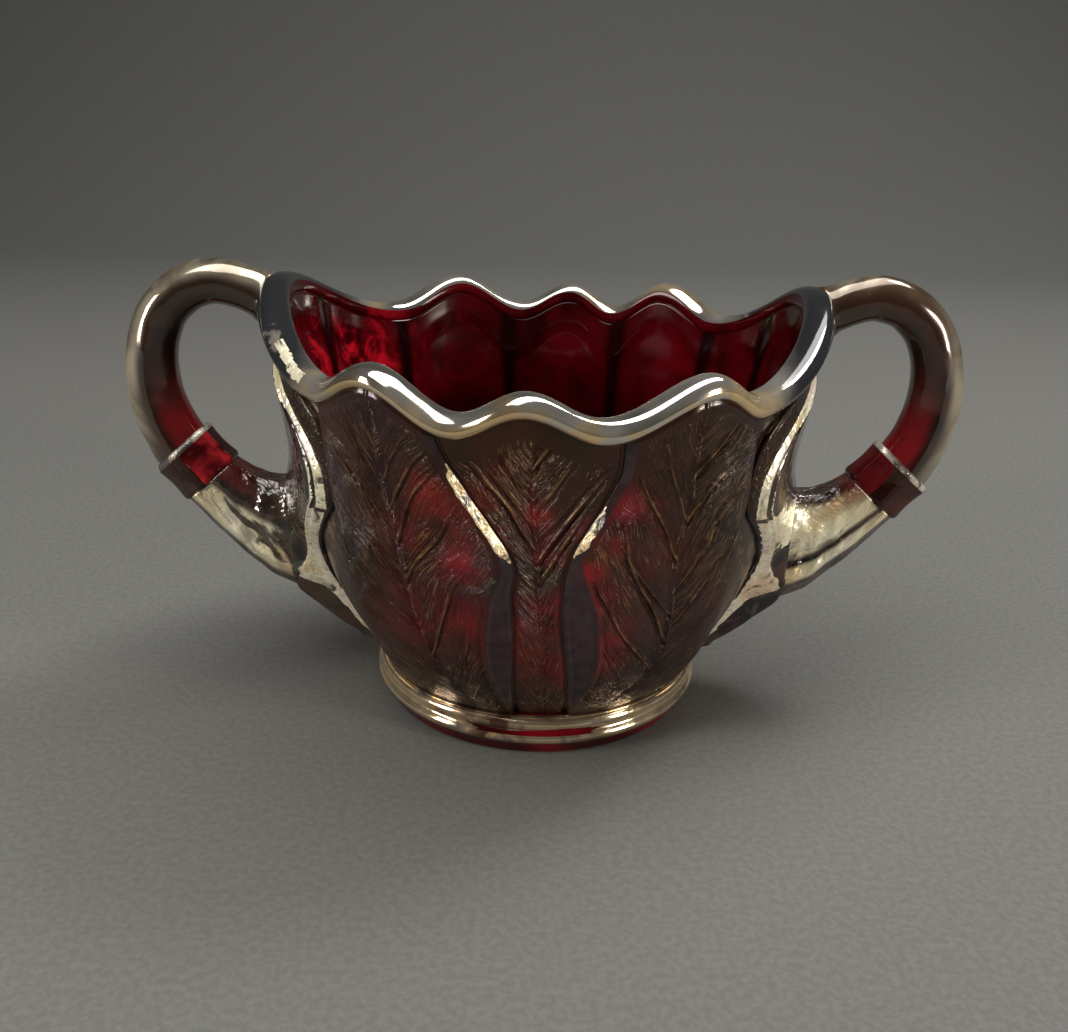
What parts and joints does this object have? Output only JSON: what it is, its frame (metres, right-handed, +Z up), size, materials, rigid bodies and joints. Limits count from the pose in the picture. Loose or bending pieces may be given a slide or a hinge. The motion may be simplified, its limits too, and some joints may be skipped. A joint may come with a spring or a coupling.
{
  "type": "two-handled pressed-glass bowl",
  "caption": "Small open round bowl in red lustre glass with relief leaves, a scalloped rounded rim, a low round foot and a twig-shaped loop handle on each side.",
  "frame": {"origin": "centre of the resting plane under the foot", "axes": "+X to the right-hand handle, -Y to the front, +Z up out of the mouth"},
  "size_m": [0.1508, 0.0971, 0.0799],
  "materials": {
    "ruby_glass": "deep ruby pressed glass, glossy",
    "leaf_lustre": "ruby glass under a brown-gold iridescent film, finely ridged relief",
    "silver_lustre": "ruby glass under a bright silver iridescent film, fire-polished",
    "gold_lustre": "ruby glass under a gold and pink iridescent film"
  },
  "bodies": {
    "root": {"cup_wall": "ruby_glass", "rim_bead": "silver_lustre", "foot_ring": "ruby_glass", "leaf_front": "leaf_lustre", "leaf_front_right": "leaf_lustre", "leaf_back_right": "leaf_lustre", "leaf_back": "leaf_lustre", "leaf_back_left": "leaf_lustre", "leaf_front_left": "leaf_lustre", "clasp_leaf_right": "gold_lustre", "clasp_leaf_left": "gold_lustre", "stem_right": "gold_lustre", "stem_left": "gold_lustre", "cuff_right": "ruby_glass", "cuff_left": "ruby_glass", "handle_loop_right": "silver_lustre", "handle_loop_left": "silver_lustre"}
  },
  "joints": []
}
